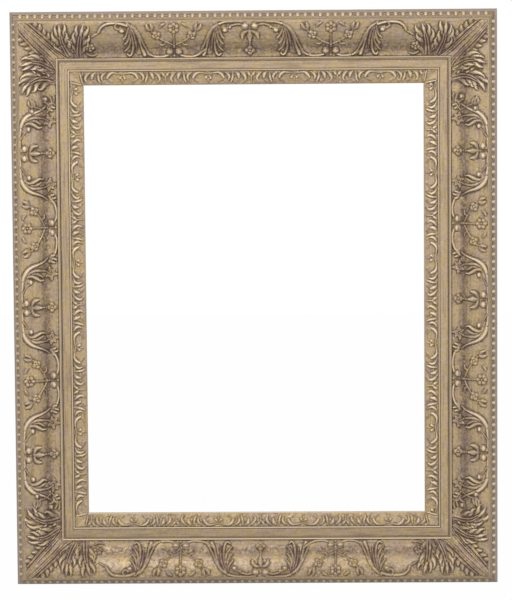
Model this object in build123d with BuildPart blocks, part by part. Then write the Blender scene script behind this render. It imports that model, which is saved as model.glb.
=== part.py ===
"""Large gilded picture frame: mitred ogee rails, an inner slip, applied ornament and back hardware.

Millimetres. +X is to the viewer's right, +Z is up and the front faces -Y.
The origin is the centre of the frame on the wall plane.
"""

import os

from build123d import *

# Opening
sight_width = 713.0
sight_height = 906.0
sight_lap = 10.0  # how far the sight lip covers the picture's edge

# Widths across the moulding, from the outer edge to the sight edge
edge_fillet_width = 6.5
bead_slope_width = 10.5
rim_width = 5.0
ogee_width = 75.0
ogee_convex_width = 46.0
fillet_width = 6.5
slip_gap = 0.5
frieze_width = 18.0
step_width = 3.5
band_width = 27.0
sight_nose_width = 2.0

# Heights above the wall plane
back_relief = 12.0
edge_foot_height = 20.0
edge_face_height = 26.0
bead_foot_height = 32.0
sight_lip_height = 31.0
sight_nose_height = 36.0
band_inner_height = 38.5
slip_seat_height = 40.0
band_outer_height = 44.5
frieze_height = 45.0
ogee_foot_height = 46.0
step_height = 47.0
fillet_height = 49.0
ridge_height = 75.0

# Back of the rails
side_undercut = 5.0
batten_width = 35.0
slip_lap = 12.5

# Corner keys, double dovetails let into the back across each mitre
key_length = 58.0
key_end_width = 22.0
key_waist_width = 13.0
key_depth = 10.0
key_clearance = 0.1

# Bead course
bead_pitch = 15.7
bead_radius = 4.0
bead_strip_width = 14.0
bead_strip_thickness = 1.2

# Scrollwork
relief = 5.0
side_scroll_spacing = 159.0
top_scroll_spacing = 164.0
scroll_margin = 6.0  # bare ground beside the ridge and the fillet
stem_width = 6.0
twig_width = 3.5
volute_radius = 6.0
rosette_radius = 7.0
rosette_sides = 8
leaf_spread = 26.0
short_leaf_spread = 13.0
leaf_width = 13.0
spray_reach = 34.0
bud_length = 15.0
bud_width = 8.0

# Corner leaves, as places along each side from the outer corner
strap_width = 20.0
corner_leaf_width = 18.0
corner_leaf_feet = (98.0, 112.0, 126.0)
corner_leaf_tips = (74.0, 112.0, 154.0)
corner_length = 166.0

# Sight leaves
sight_repeat = 90.0
sight_margin = 0.6
sight_base_thickness = 0.8
sight_relief = 3.0
sight_leaf_width = 7.0
sight_leaf_spacing = 22.5
sight_leaf_lean = 14.0
sight_foot_overlap = 2.0  # how far each leaf of a pair starts past the middle
sight_flower_radius = 3.6

# Screws
screw_radius = 1.9
screw_head_radius = 3.9
screw_head_height = 2.4
screw_slot_width = 1.0
screw_slot_depth = 1.0
screw_bite = 16.0
screw_tip_gap = 0.5
screw_wood_clearance = 0.05
screw_plate_clearance = 0.3

# Plates that hold the slip in the rails
plate_length = 44.0
plate_width = 13.0
plate_thickness = 1.5
plate_hole_spacing = 26.0
side_plate_offset = 170.0
top_plate_offset = 95.0

# Turn buttons that hold the picture
button_reach = 31.0  # from the pivot to the middle of the round tip
button_pivot_end_radius = 7.5
button_tip_radius = 4.5
button_thickness = 1.6
button_running_gap = 0.2
button_pivot_gap = 0.08
button_edge_setback = 13.0
side_button_offset = 290.0
top_button_offset = 215.0

# Strap hangers and their rings
hanger_drop = 330.0  # ring pivots below the top edge
hanger_length = 56.0
hanger_width = 16.0
hanger_thickness = 1.6
hanger_hole_spacing = 28.0
hanger_first_hole = 16.0
hanger_inset = 66.0  # from the outer edge to the hanger's middle
countersunk_radius = 3.5
countersunk_clearance = 0.05
barrel_wall = 1.5
barrel_length = 14.0
barrel_stand_off = 0.6
ring_wire_radius = 1.5
ring_running_gap = 0.08
ring_inner_width = 25.0
ring_inner_height = 26.0
ring_corner_radius = 4.0

# Places across the moulding, measured inward from the outer edge
bead_foot_u = edge_fillet_width
rim_u = bead_foot_u + bead_slope_width
ogee_u = rim_u + rim_width
ogee_turn_u = ogee_u + ogee_convex_width
fillet_u = ogee_u + ogee_width
lip_u = fillet_u + fillet_width
frieze_u = lip_u + slip_gap
step_u = frieze_u + frieze_width
band_u = step_u + step_width
nose_u = band_u + band_width
sight_u = nose_u + sight_nose_width
picture_edge_u = sight_u - sight_lap
slip_wall_u = lip_u - slip_lap
slip_edge_u = slip_wall_u + slip_gap
batten_u = side_undercut + batten_width
button_u = picture_edge_u - button_edge_setback
key_u = (batten_u + slip_wall_u) / 2

frame_width = sight_width + 2 * sight_u
frame_height = sight_height + 2 * sight_u
rim_side_height = ridge_height - rim_width
ogee_turn_height = ridge_height - (ridge_height - ogee_foot_height) * ogee_convex_width / ogee_width
barrel_radius = ring_wire_radius + ring_running_gap + barrel_wall
ring_height = back_relief - barrel_stand_off - barrel_radius
hanger_z = frame_height / 2 - hanger_drop

# Each side as the way along it, the way inward, its length and its own offsets
SIDES = {
    "bottom": {"along": (1, 0, 0), "inward": (0, 0, 1)},
    "right": {"along": (0, 0, 1), "inward": (-1, 0, 0)},
    "top": {"along": (-1, 0, 0), "inward": (0, 0, -1)},
    "left": {"along": (0, 0, -1), "inward": (1, 0, 0)},
}
for side_name, side in SIDES.items():
    upright = side["along"][2] != 0
    side["length"] = frame_height if upright else frame_width
    side["reach"] = (frame_width if upright else frame_height) / 2
    side["scroll_spacing"] = side_scroll_spacing if upright else top_scroll_spacing
    side["plate_offset"] = side_plate_offset if upright else top_plate_offset
    side["button_offset"] = side_button_offset if upright else top_button_offset

# Which way along an upright side is down
HANGING_WAY = {"left": 1, "right": -1}

# Each corner as the side that ends there and the side that starts there
CORNERS = {
    "bottom_left": ("left", "bottom"),
    "bottom_right": ("bottom", "right"),
    "top_right": ("right", "top"),
    "top_left": ("top", "left"),
}


def plan_plane(side):
    """Local x along the side, y inward from its outer edge and z up from the wall plane."""
    origin = Vector(*side["inward"]) * -side["reach"]
    return Plane(origin=origin, x_dir=side["along"], z_dir=(0, -1, 0))


def section_plane(side):
    """Local x inward from the outer edge, y up from the wall plane and z along the side."""
    origin = Vector(*side["inward"]) * -side["reach"]
    return Plane(origin=origin, x_dir=side["inward"], z_dir=side["along"])


def corner_plane(first, second):
    """Local x along the second side and y back along the first, from the outer corner they share."""
    corner = plan_plane(SIDES[first]).from_local_coords((SIDES[first]["length"] / 2, 0, 0))
    return Plane(origin=corner, x_dir=SIDES[second]["along"], z_dir=(0, -1, 0))


def slope_plane(side, foot, head):
    """Plane on a sloping face of the moulding, through the middle of its width."""
    middle = plan_plane(side).from_local_coords((0, (foot[0] + head[0]) / 2, (foot[1] + head[1]) / 2))
    across = Vector(*side["inward"]) * (head[0] - foot[0]) + Vector(0, -1, 0) * (head[1] - foot[1])
    normal = Vector(*side["along"]).cross(across).normalized()
    return Plane(origin=middle, x_dir=side["along"], z_dir=normal)


def cut_mitres(side):
    """Keep what lies between the two mitre planes of a side, a trapezium seen from the front."""
    half = side["length"] / 2
    with BuildSketch(plan_plane(side)) as trapezium:
        Polygon((-half, 0), (half, 0), (half - sight_u, sight_u), (-half + sight_u, sight_u), align=None)
    extrude(trapezium.sketch, amount=ridge_height + relief, mode=Mode.INTERSECT)


def ogee_line(lift):
    """The ogee from the ridge to the fillet, lifted off the rail by a height."""
    start = (ogee_u, ridge_height + lift)
    turn = (ogee_turn_u, ogee_turn_height + lift)
    end = (fillet_u, ogee_foot_height + lift)
    convex = TangentArc(start, turn, tangent=(1, 0))
    TangentArc(turn, end, tangent=convex % 1)


def relief_layer(side):
    """The layer that ornament on the ogee fills, between the rail and the height of the relief."""
    with BuildPart() as layer:
        with BuildSketch(section_plane(side)):
            with BuildLine():
                ogee_line(0)
                Line((fillet_u, ogee_foot_height), (fillet_u, ogee_foot_height + relief))
                ogee_line(relief)
                Line((ogee_u, ridge_height + relief), (ogee_u, ridge_height))
            make_face()
        extrude(amount=side["length"] / 2, both=True)
        cut_mitres(side)
    return layer.part


def drill(side, places, radius):
    """Holes for screws, drilled into the relieved back."""
    with BuildSketch(plan_plane(side).offset(back_relief)) as holes:
        with Locations(*places):
            Circle(radius)
    extrude(holes.sketch, amount=screw_bite, mode=Mode.SUBTRACT)


def plate_rail_holes(side):
    """Where the slip plates are screwed to the rail."""
    offset = side["plate_offset"]
    return [(t, slip_wall_u - plate_hole_spacing / 2) for t in (-offset, offset)]


def plate_slip_holes(side):
    """Where the slip plates are screwed to the slip."""
    offset = side["plate_offset"]
    return [(t, slip_wall_u + plate_hole_spacing / 2) for t in (-offset, offset)]


def button_pivots(side):
    """Where the turn buttons are screwed to the slip."""
    offset = side["button_offset"]
    return [(t, button_u) for t in (-offset, offset)]


def hanger_holes(side_name):
    """The hanger's screws on a side rail, along that rail."""
    if side_name not in HANGING_WAY:
        return []
    down = HANGING_WAY[side_name]
    first = down * (hanger_first_hole - hanger_z)
    return [(first, hanger_inset), (first + down * hanger_hole_spacing, hanger_inset)]


def leaf(foot, tip, width):
    """A pointed leaf in the current sketch, as wide as width at its middle."""
    with BuildLine() as edge:
        SagittaArc(foot, tip, width / 2)
        SagittaArc(tip, foot, width / 2)
    make_face(edge.edges())


def stem(start, end, width):
    """A straight stem in the current sketch."""
    with BuildLine() as line:
        Line(start, end)
    trace(line.edges(), line_width=width)


def key_outline(clearance):
    """Double dovetail across the mitre, with its waist on the mitre line."""
    end_x = key_length / 2 + clearance
    end_y = key_end_width / 2 + clearance
    waist_y = key_waist_width / 2 + clearance
    Polygon(
        (-end_x, -end_y), (0, -waist_y), (end_x, -end_y),
        (end_x, end_y), (0, waist_y), (-end_x, end_y),
        align=None,
    )


def key_plane(corner, height):
    """Plane at a height, centred on the mitre, with local x across the mitre line."""
    plane = corner_plane(*CORNERS[corner])
    middle = plane.from_local_coords((key_u, key_u, height))
    across = plane.x_dir - plane.y_dir
    return Plane(origin=middle, x_dir=across, z_dir=plane.z_dir)


def pocket_key(corner):
    """The pocket that a corner key is glued into."""
    with BuildSketch(key_plane(corner, back_relief)) as pocket:
        key_outline(key_clearance)
    extrude(pocket.sketch, amount=key_depth, mode=Mode.SUBTRACT)


def save(piece, name):
    """Label a finished piece and write it under its name."""
    piece.part.label = name
    export_step(piece.part, f"parts/{name}.step")


def pan_head_screws(name, places, seat_height):
    """Slotted screws, with their heads against a seat and their shanks in the wood."""
    with BuildPart() as screws:
        for side_name, spots in places.items():
            side = SIDES[side_name]
            for radius, start, end in (
                (screw_head_radius, seat_height - screw_head_height, seat_height),
                (screw_radius, seat_height, back_relief + screw_bite - screw_tip_gap),
            ):
                with BuildSketch(plan_plane(side).offset(start)) as rounds:
                    with Locations(*spots):
                        Circle(radius)
                extrude(rounds.sketch, amount=end - start)
            with BuildSketch(plan_plane(side).offset(seat_height - screw_head_height)) as slots:
                with Locations(*spots):
                    Rectangle(2 * screw_head_radius + screw_slot_width, screw_slot_width)
            extrude(slots.sketch, amount=screw_slot_depth, mode=Mode.SUBTRACT)
    save(screws, name)


os.makedirs("parts", exist_ok=True)

# Rails: the main moulding, mitred at both ends
for side_name, side in SIDES.items():
    with BuildPart() as rail:
        with BuildSketch(section_plane(side)):
            with BuildLine():
                Polyline(
                    (ogee_u - rim_width, rim_side_height),
                    (bead_foot_u, bead_foot_height),
                    (0, edge_face_height),
                    (0, edge_foot_height),
                    (side_undercut, 0),
                    (batten_u, 0),
                    (batten_u, back_relief),
                    (slip_wall_u, back_relief),
                    (slip_wall_u, slip_seat_height),
                    (lip_u, slip_seat_height),
                    (lip_u, fillet_height),
                    (fillet_u, fillet_height),
                    (fillet_u, ogee_foot_height),
                )
                ogee_line(0)
                TangentArc((rim_u, rim_side_height), (ogee_u, ridge_height), tangent=(0, 1))
            make_face()
        extrude(amount=side["length"] / 2, both=True)
        cut_mitres(side)
        drill(side, plate_rail_holes(side), screw_radius + screw_wood_clearance)
        if hanger_holes(side_name):
            drill(side, hanger_holes(side_name), screw_radius + screw_wood_clearance)
        for corner, sides in CORNERS.items():
            if side_name in sides:
                pocket_key(corner)
    save(rail, f"{side_name}_rail")

# Slips: the frieze and sight moulding, seated behind the rails' lips, with the picture's rabbet
for side_name, side in SIDES.items():
    with BuildPart() as slip:
        with BuildSketch(section_plane(side)):
            with BuildLine():
                Polyline(
                    (slip_edge_u, back_relief),
                    (slip_edge_u, slip_seat_height),
                    (frieze_u, slip_seat_height),
                    (frieze_u, frieze_height),
                    (step_u, frieze_height),
                    (step_u, step_height),
                    (band_u, step_height),
                    (band_u, band_outer_height),
                    (nose_u, band_inner_height),
                    (sight_u, sight_nose_height),
                    (sight_u, sight_lip_height),
                    (picture_edge_u, sight_lip_height),
                    (picture_edge_u, back_relief),
                    close=True,
                )
            make_face()
        extrude(amount=side["length"] / 2, both=True)
        cut_mitres(side)
        drill(side, plate_slip_holes(side), screw_radius + screw_wood_clearance)
        drill(side, button_pivots(side), screw_radius + screw_wood_clearance)
    save(slip, f"{side_name}_slip")

# Corner keys
for corner in CORNERS:
    with BuildPart() as key:
        with BuildSketch(key_plane(corner, back_relief)):
            key_outline(0)
        extrude(amount=key_depth)
    save(key, f"{corner}_corner_key")

# Bead courses on the outer slope of each rail
for side_name, side in SIDES.items():
    bead_plane = slope_plane(side, (bead_foot_u, bead_foot_height), (rim_u, rim_side_height))
    bead_count = 2 * int((side["length"] / 2 - rim_u) / bead_pitch) - 1
    with BuildPart() as course:
        with BuildSketch(bead_plane):
            Rectangle(side["length"], bead_strip_width)
        extrude(amount=bead_strip_thickness)
        with Locations(bead_plane.offset(bead_strip_thickness)):
            with GridLocations(bead_pitch, bead_pitch, bead_count, 1):
                Sphere(bead_radius, arc_size1=0, align=(Align.CENTER, Align.CENTER, Align.MIN))
        cut_mitres(side)
    save(course, f"{side_name}_bead_course")

# Scrollwork between the corners: a winding stem with volutes, rosettes, leaves and sprays
scroll_inner_u = fillet_u - scroll_margin
scroll_outer_u = ogee_u + scroll_margin
scroll_middle_u = (scroll_inner_u + scroll_outer_u) / 2
swing = (scroll_inner_u - scroll_outer_u - stem_width) / 2
for side_name, side in SIDES.items():
    spacing = side["scroll_spacing"]
    turns = int((side["length"] / 2 - corner_length - leaf_spread - spacing / 2) / spacing)
    with BuildPart() as scrollwork:
        with BuildSketch(plan_plane(side)):
            for turn in range(-turns, turns + 1):
                inward = 1 if turn % 2 else -1
                middle_t = turn * spacing
                crest_u = scroll_middle_u + inward * (swing - volute_radius)
                flower_u = scroll_middle_u - inward * (swing - rosette_radius)
                with BuildLine() as winding:
                    SagittaArc(
                        (middle_t - spacing / 2, scroll_middle_u),
                        (middle_t + spacing / 2, scroll_middle_u),
                        inward * swing,
                    )
                trace(winding.edges(), line_width=stem_width)
                with Locations((middle_t - volute_radius, crest_u), (middle_t + volute_radius, crest_u)):
                    Circle(volute_radius)
                with Locations((middle_t, flower_u)):
                    RegularPolygon(rosette_radius, rosette_sides)
                stem((middle_t, crest_u), (middle_t, flower_u), twig_width)
                for hand in (-1, 1):
                    branch = (middle_t + hand * spacing / 2, scroll_middle_u)
                    leaf(branch, (branch[0] - hand * leaf_spread, flower_u), leaf_width)
                    leaf(branch, (branch[0] + hand * short_leaf_spread, crest_u), leaf_width)
                    bud = (middle_t + hand * spray_reach, scroll_middle_u - inward * bud_length / 2)
                    stem((middle_t, scroll_middle_u), bud, twig_width)
                    with Locations(bud):
                        Ellipse(bud_length / 2, bud_width / 2)
        extrude(amount=ridge_height + relief)
        add(relief_layer(side), mode=Mode.INTERSECT)
    save(scrollwork, f"{side_name}_scrollwork")

# Corner leaves: a strap along the mitre with acanthus leaves fanned out to both sides
for corner, (first, second) in CORNERS.items():
    with BuildPart() as corner_leaf:
        add(relief_layer(SIDES[first]))
        add(relief_layer(SIDES[second]))
        with BuildSketch(corner_plane(first, second)):
            strap_end = ogee_u + strap_width / 2
            stem((scroll_inner_u, scroll_inner_u), (strap_end, strap_end), strap_width)
            last_foot = corner_leaf_feet[-1]
            stem((scroll_inner_u, scroll_inner_u), (last_foot, scroll_inner_u), stem_width)
            stem((scroll_inner_u, scroll_inner_u), (scroll_inner_u, last_foot), stem_width)
            for foot, tip in zip(corner_leaf_feet, corner_leaf_tips):
                leaf((foot, scroll_inner_u), (tip, scroll_outer_u), corner_leaf_width)
                leaf((scroll_inner_u, foot), (scroll_outer_u, tip), corner_leaf_width)
        extrude(amount=ridge_height + relief, mode=Mode.INTERSECT)
    save(corner_leaf, f"{corner}_corner_leaf")

# Sight leaves: a thin strip along the sight band with leaves and flowers in relief
for side_name, side in SIDES.items():
    band_plane = slope_plane(side, (band_u, band_outer_height), (nose_u, band_inner_height))
    strip_width = ((band_width**2 + (band_outer_height - band_inner_height) ** 2) ** 0.5) - 2 * sight_margin
    leaf_y = strip_width / 2 - sight_margin
    sight_length = side["length"] - 2 * sight_u
    repeats = int((sight_length / 2 - strip_width) / sight_repeat)
    with BuildPart() as sight_leaves:
        with BuildSketch(band_plane):
            Rectangle(side["length"], strip_width)
        extrude(amount=sight_base_thickness)
        with BuildSketch(band_plane):
            for repeat in range(-repeats, repeats + 1):
                middle_t = repeat * sight_repeat
                for hand in (-1, 1):
                    far = middle_t + hand * sight_leaf_spacing
                    near_tip = (middle_t + hand * sight_leaf_lean, leaf_y)
                    far_tip = (far + hand * sight_leaf_lean, leaf_y)
                    near_foot = (middle_t - hand * sight_foot_overlap, -leaf_y)
                    leaf(near_foot, near_tip, sight_leaf_width)
                    leaf((far, -leaf_y), far_tip, sight_leaf_width)
                with Locations((middle_t, leaf_y - sight_flower_radius)):
                    Circle(sight_flower_radius)
        extrude(amount=sight_relief)
        cut_mitres(side)
    save(sight_leaves, f"{side_name}_sight_leaves")

# Plates across the joint of rail and slip, and their screws
with BuildPart() as slip_plates:
    for side in SIDES.values():
        with BuildSketch(plan_plane(side).offset(back_relief - plate_thickness)):
            with Locations(*[(t, slip_wall_u) for t in (-side["plate_offset"], side["plate_offset"])]):
                SlotOverall(plate_length, plate_width, rotation=90)
            with Locations(*plate_rail_holes(side), *plate_slip_holes(side)):
                Circle(screw_radius + screw_plate_clearance, mode=Mode.SUBTRACT)
        extrude(amount=plate_thickness)
save(slip_plates, "slip_plates")
plate_screws = {name: plate_rail_holes(side) + plate_slip_holes(side) for name, side in SIDES.items()}
pan_head_screws("slip_plate_screws", plate_screws, back_relief - plate_thickness)

# Turn buttons, parked along the slip, and the screws they turn on
for side_name, side in SIDES.items():
    for number, (pivot_t, pivot_u) in enumerate(button_pivots(side), start=1):
        towards_middle = -1 if pivot_t > 0 else 1
        way = HANGING_WAY.get(side_name, towards_middle)
        with BuildPart() as button:
            with BuildSketch(plan_plane(side).offset(back_relief - button_running_gap - button_thickness)):
                with Locations((pivot_t, pivot_u)):
                    Circle(button_pivot_end_radius)
                with Locations((pivot_t + way * button_reach, pivot_u)):
                    Circle(button_tip_radius)
                make_hull()
                with Locations((pivot_t, pivot_u)):
                    Circle(screw_radius + button_pivot_gap, mode=Mode.SUBTRACT)
            extrude(amount=button_thickness)
        save(button, f"{side_name}_turn_button_{number}")
button_screws = {name: button_pivots(side) for name, side in SIDES.items()}
pan_head_screws("turn_button_screws", button_screws, back_relief - 2 * button_running_gap - button_thickness)

# Strap hangers on the side rails, their countersunk screws and their rings
for side_name in HANGING_WAY:
    side = SIDES[side_name]
    pivot_t = -HANGING_WAY[side_name] * hanger_z
    pivot = plan_plane(side).from_local_coords((pivot_t, hanger_inset, ring_height))
    plate_top = plan_plane(side).from_local_coords((pivot_t, hanger_inset, back_relief - hanger_thickness))
    barrel_plane = Plane(origin=pivot, x_dir=(0, 1, 0), z_dir=(1, 0, 0))
    plate_face = Plane(origin=plate_top, x_dir=(1, 0, 0), z_dir=(0, -1, 0))
    with BuildPart() as hanger:
        with BuildSketch(plate_face):
            with Locations((0, -hanger_length / 2)):
                Rectangle(hanger_width, hanger_length)
            with Locations((0, -hanger_length)):
                Circle(hanger_width / 2)
        extrude(amount=hanger_thickness)
        with BuildSketch(barrel_plane):
            Circle(barrel_radius)
        extrude(amount=barrel_length / 2, both=True)
        with BuildSketch(barrel_plane):
            Circle(ring_wire_radius + ring_running_gap)
        extrude(amount=hanger_width, both=True, mode=Mode.SUBTRACT)
        with Locations(plan_plane(side).offset(back_relief - hanger_thickness)):
            with Locations(*hanger_holes(side_name)):
                Cone(
                    countersunk_radius + countersunk_clearance,
                    screw_radius + countersunk_clearance,
                    hanger_thickness,
                    align=(Align.CENTER, Align.CENTER, Align.MIN),
                    mode=Mode.SUBTRACT,
                )
    save(hanger, f"{side_name}_hanger")

    half_width = ring_inner_width / 2 + ring_wire_radius
    drop = ring_inner_height + 2 * ring_wire_radius
    ring_plane = Plane(origin=pivot, x_dir=(1, 0, 0), z_dir=(0, -1, 0))
    with BuildPart() as ring:
        with BuildLine(ring_plane) as wire:
            bar_end = half_width - ring_corner_radius
            Line((0, 0), (bar_end, 0))
            CenterArc((bar_end, -ring_corner_radius), ring_corner_radius, 90, -90)
            Line((half_width, -ring_corner_radius), (half_width, half_width - drop))
            CenterArc((0, half_width - drop), half_width, 0, -90)
        with BuildSketch(barrel_plane):
            Circle(ring_wire_radius)
        sweep(path=wire.wires()[0])
        mirror(about=barrel_plane)
    save(ring, f"{side_name}_hanger_ring")

with BuildPart() as hanger_screws:
    for side_name in HANGING_WAY:
        with Locations(plan_plane(SIDES[side_name]).offset(back_relief - hanger_thickness)):
            with Locations(*hanger_holes(side_name)):
                Cone(
                    countersunk_radius, screw_radius, hanger_thickness,
                    align=(Align.CENTER, Align.CENTER, Align.MIN),
                )
        with Locations(plan_plane(SIDES[side_name]).offset(back_relief)):
            with Locations(*hanger_holes(side_name)):
                Cylinder(
                    screw_radius, screw_bite - screw_tip_gap, align=(Align.CENTER, Align.CENTER, Align.MIN)
                )
save(hanger_screws, "hanger_screws")
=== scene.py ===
"""The looks of a large gilded picture frame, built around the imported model.

The ornament is drawn in millimetres as a height over the moulding, stroke by stroke. It is then turned
into closed meshes in metres, which take the place of the plain ornament nodes.
"""

import math

import bpy
import numpy as np
from mathutils import Matrix, Vector


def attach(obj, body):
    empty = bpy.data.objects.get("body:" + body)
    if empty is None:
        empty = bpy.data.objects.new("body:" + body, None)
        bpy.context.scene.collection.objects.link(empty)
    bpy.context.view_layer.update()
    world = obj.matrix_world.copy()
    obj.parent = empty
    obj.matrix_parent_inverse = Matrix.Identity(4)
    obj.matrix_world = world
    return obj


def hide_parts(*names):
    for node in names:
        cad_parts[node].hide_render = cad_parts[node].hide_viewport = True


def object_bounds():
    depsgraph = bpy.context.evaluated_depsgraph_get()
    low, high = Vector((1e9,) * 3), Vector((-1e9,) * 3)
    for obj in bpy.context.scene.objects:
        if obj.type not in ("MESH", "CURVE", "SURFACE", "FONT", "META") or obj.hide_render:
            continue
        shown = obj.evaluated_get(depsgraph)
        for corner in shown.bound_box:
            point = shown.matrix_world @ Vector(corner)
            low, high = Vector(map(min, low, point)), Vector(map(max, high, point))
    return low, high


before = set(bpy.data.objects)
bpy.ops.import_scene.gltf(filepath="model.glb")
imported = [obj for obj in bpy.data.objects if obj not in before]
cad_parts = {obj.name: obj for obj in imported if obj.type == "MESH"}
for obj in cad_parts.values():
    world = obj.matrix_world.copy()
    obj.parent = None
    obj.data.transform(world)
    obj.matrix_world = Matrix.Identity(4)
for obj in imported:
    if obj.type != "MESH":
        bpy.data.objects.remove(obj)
cad_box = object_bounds()

# The moulding in millimetres, as places inward from the outer edge and heights above the wall plane
MILLI = 0.001
FRAME_WIDTH = (cad_box[1].x - cad_box[0].x) / MILLI
FRAME_HEIGHT = (cad_box[1].z - cad_box[0].z) / MILLI
BEAD_FOOT = (6.5, 32.0)
BEAD_HEAD = (17.0, 70.0)
RIDGE = (22.0, 75.0)
OGEE_TURN = (68.0, 57.213)
OGEE_FOOT = (97.0, 46.0)
BAND_OUTER = (125.5, 44.5)
BAND_INNER = (152.5, 38.5)
CORNER_LENGTH = 166.0
OUTER_EDGE = 7.0
EDGE_FOOT = 20.0
BACK_EDGE = 8.5
BACK_LEVEL = 30.5


def by_side(left, right, top, bottom):
    """A value for each side of the frame."""
    return {"left": left, "right": right, "top": top, "bottom": bottom}


# Carving in millimetres: how its strokes are drawn, and where its motifs lie along each side
CANVAS_CELL = 0.4
DAB_SPACING = 0.5
CURVE_STEPS = 16
UNEVENNESS = 0.25
MOAT = 0.9
MOAT_DEPTH = 0.3
PLUMP = 0.36
EYE_REACH = 0.42
EYE_WIDTHS = (0.48, 0.76, 0.48)
FLAME = ((-0.32, 0.22), (-0.17, 0.58), (-0.03, 0.95), (0.07, 1.04), (0.13, 0.92))
ORNAMENT_HEIGHT = 5.0
MOTIF_SPACING = 159.0
OUTWARD_SCROLLS = by_side((-312.0, 12.5, 324.0), (-323.5, 0.5, 312.0), (6.0,), (8.0,))
INWARD_SCROLLS = by_side((-155.5, 167.5), (-168.5, 159.5), (-163.0, 164.5), (-161.5, 166.5))
STRAP_PLACES = (20, 28, 38, 55, 75, 90, 97)
STRAP_HALF_WIDTHS = (7.0, 9.5, 11.5, 13.0, 13.5, 14.5, 18.0)
STRAP_FLUTES = ((1.9, 0.76, 0.13), (1.5, 0.36, 0.12))
STRAP_RISE = 4.2
STRAP_RIPPLE = 0.1
RIPPLE_LENGTH = 2.6
STRAP_EDGE = 1.0
STRAP_FALL = 1.8
STRAP_MOAT = 2.2
STRAP_MOAT_DEPTH = 0.2
SIGHT_HEIGHT = 3.1
SIGHT_REPEAT = 180.0
SIGHT_SHIFT = by_side(9.0, -4.0, 4.0, 9.0)
CORNER_RIM = ((22.5, 2.4), (27.5, 24.5))

# Patina and painted light and shade: reaches in cells of the drawing, how much the hollows darken with patina
# and painted shade, how much the crests and highest places get a painted highlight, and painted shade set by
# side and across the ogee
SOFTENING = 1
NEAR_REACH = 3
NEAR_SHARE = 0.75
WIDE_REACH = 11
WIDE_SHARE = 0.3
# Painted highlight: places above a share of the full height, with its strength, and a share of it on crests
# that stand out
HIGHLIGHT_FROM = 0.66
HIGHLIGHT_STRENGTH = 1.5
CREST_HIGHLIGHT = 0.6
# By side, as painted shade: the strength of the carving's patina and painted light and shade, and an added
# painted shade from the ridge to the fillet
CARVING_SHADING = by_side(1.0, 1.0, 1.0, 0.7)
SIDE_SHADE = by_side((0.1, 0.08), (0.17, 0.11), (0.16, 0.17), (0.36, 0.0))
# Painted shade, with a bole tint, in a band across the middle of the ogee, and painted shade along its foot
# by the fillet
STEEP_PLACE = by_side(50.0, 50.0, 58.0, 54.0)
STEEP_WIDTH = 11.0
STEEP_SHADE = 0.35
STEEP_SHADE_TINT = 0.6
FOOT_LINE = 3.0
FOOT_SHADE = 0.6
# By side, as painted shade: the strength of the sight band's patina and painted light and shade, and an added
# painted shade
SIGHT_SHADING = by_side(1.05, 1.15, 1.0, 0.75)
SIGHT_SIDE_SHADE = by_side(0.08, 0.03, 0.1, 0.18)

# Meshes of the carving: millimetres above and below the moulding, and the fineness of the grids
GROUND = 0.3
SHEET_DEPTH = 0.5
CORNER_BLEND = 20.0
SIGHT_BLEND = 5.0
RELIEF_ROWS = 100
SCROLL_COLUMNS = 940
CORNER_ROWS = 150
CORNER_COLUMNS = 300
SIGHT_ROWS = 46
SIGHT_COLUMNS = 1500

# Beads in millimetres, and the painted shade and painted highlights on them and their channel, set by side
BEAD_PITCH = 15.7
BEAD_HALF_LENGTH = 4.6
BEAD_HALF_WIDTH = 7.2
BEAD_BASE = 0.2
BEAD_RISE = 5.6
BEAD_RINGS = 7
BEAD_SEGMENTS = 20
BEAD_STRIP_WIDTH = 14.0
CHANNEL_FLOOR = 0.4
BEAD_SHADE = by_side(0.24, 0.46, -0.22, -0.6)
BEAD_HIGHLIGHT = by_side(1.7, 3.2, 1.35, 1.0)

# Each side as the way along it and the way inward
SIDES = {
    "bottom": ((1, 0, 0), (0, 0, 1)),
    "right": ((0, 0, 1), (-1, 0, 0)),
    "top": ((-1, 0, 0), (0, 0, -1)),
    "left": ((0, 0, -1), (1, 0, 0)),
}
UPRIGHTS = ("left", "right")
CORNERS = {
    "bottom_left": ("left", "bottom"),
    "bottom_right": ("bottom", "right"),
    "top_right": ("right", "top"),
    "top_left": ("top", "left"),
}


def half_length(side):
    """Half of a side's outer length."""
    return (FRAME_HEIGHT if side in UPRIGHTS else FRAME_WIDTH) / 2


def half_reach(side):
    """From the frame's middle to a side's outer edge."""
    return (FRAME_WIDTH if side in UPRIGHTS else FRAME_HEIGHT) / 2


def to_world(side, t, u, h):
    """Points in metres for places along a side, inward from its outer edge and above the wall plane."""
    along, inward = (np.array(way, float) for way in SIDES[side])
    inner = np.asarray(u) - half_reach(side)
    up = np.array((0.0, -1.0, 0.0))
    return MILLI * (np.multiply.outer(t, along) + np.multiply.outer(inner, inward) + np.multiply.outer(h, up))


# Lines across the moulding
def tangent_arc(start, heading, end, count):
    """Points of the arc that leaves start along heading, an angle, and ends at end, and its last heading."""
    chord = np.subtract(end, start)
    sweep = 2 * (math.atan2(chord[1], chord[0]) - heading)
    radius = np.hypot(*chord) / (2 * math.sin(sweep / 2))
    turned = heading + np.linspace(0, sweep, count)
    x = start[0] + radius * (np.sin(turned) - math.sin(heading))
    y = start[1] - radius * (np.cos(turned) - math.cos(heading))
    return np.column_stack((x, y)), heading + sweep


class Profile:
    """A line across the moulding, with its inward place, height and normal against the length along it."""

    def __init__(self, points):
        self.u, self.h = np.array(points).T
        self.s = np.concatenate(([0], np.cumsum(np.hypot(np.diff(self.u), np.diff(self.h)))))
        self.normal_u = -np.gradient(self.h, self.s)
        self.normal_h = np.gradient(self.u, self.s)
        self.width = self.s[-1]

    def at(self, s):
        """Inward place, height and normal at lengths along the line."""
        return tuple(np.interp(s, self.s, line) for line in (self.u, self.h, self.normal_u, self.normal_h))

    def length_at(self, u):
        """Length along the line at an inward place."""
        return np.interp(u, self.u, self.s)


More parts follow.
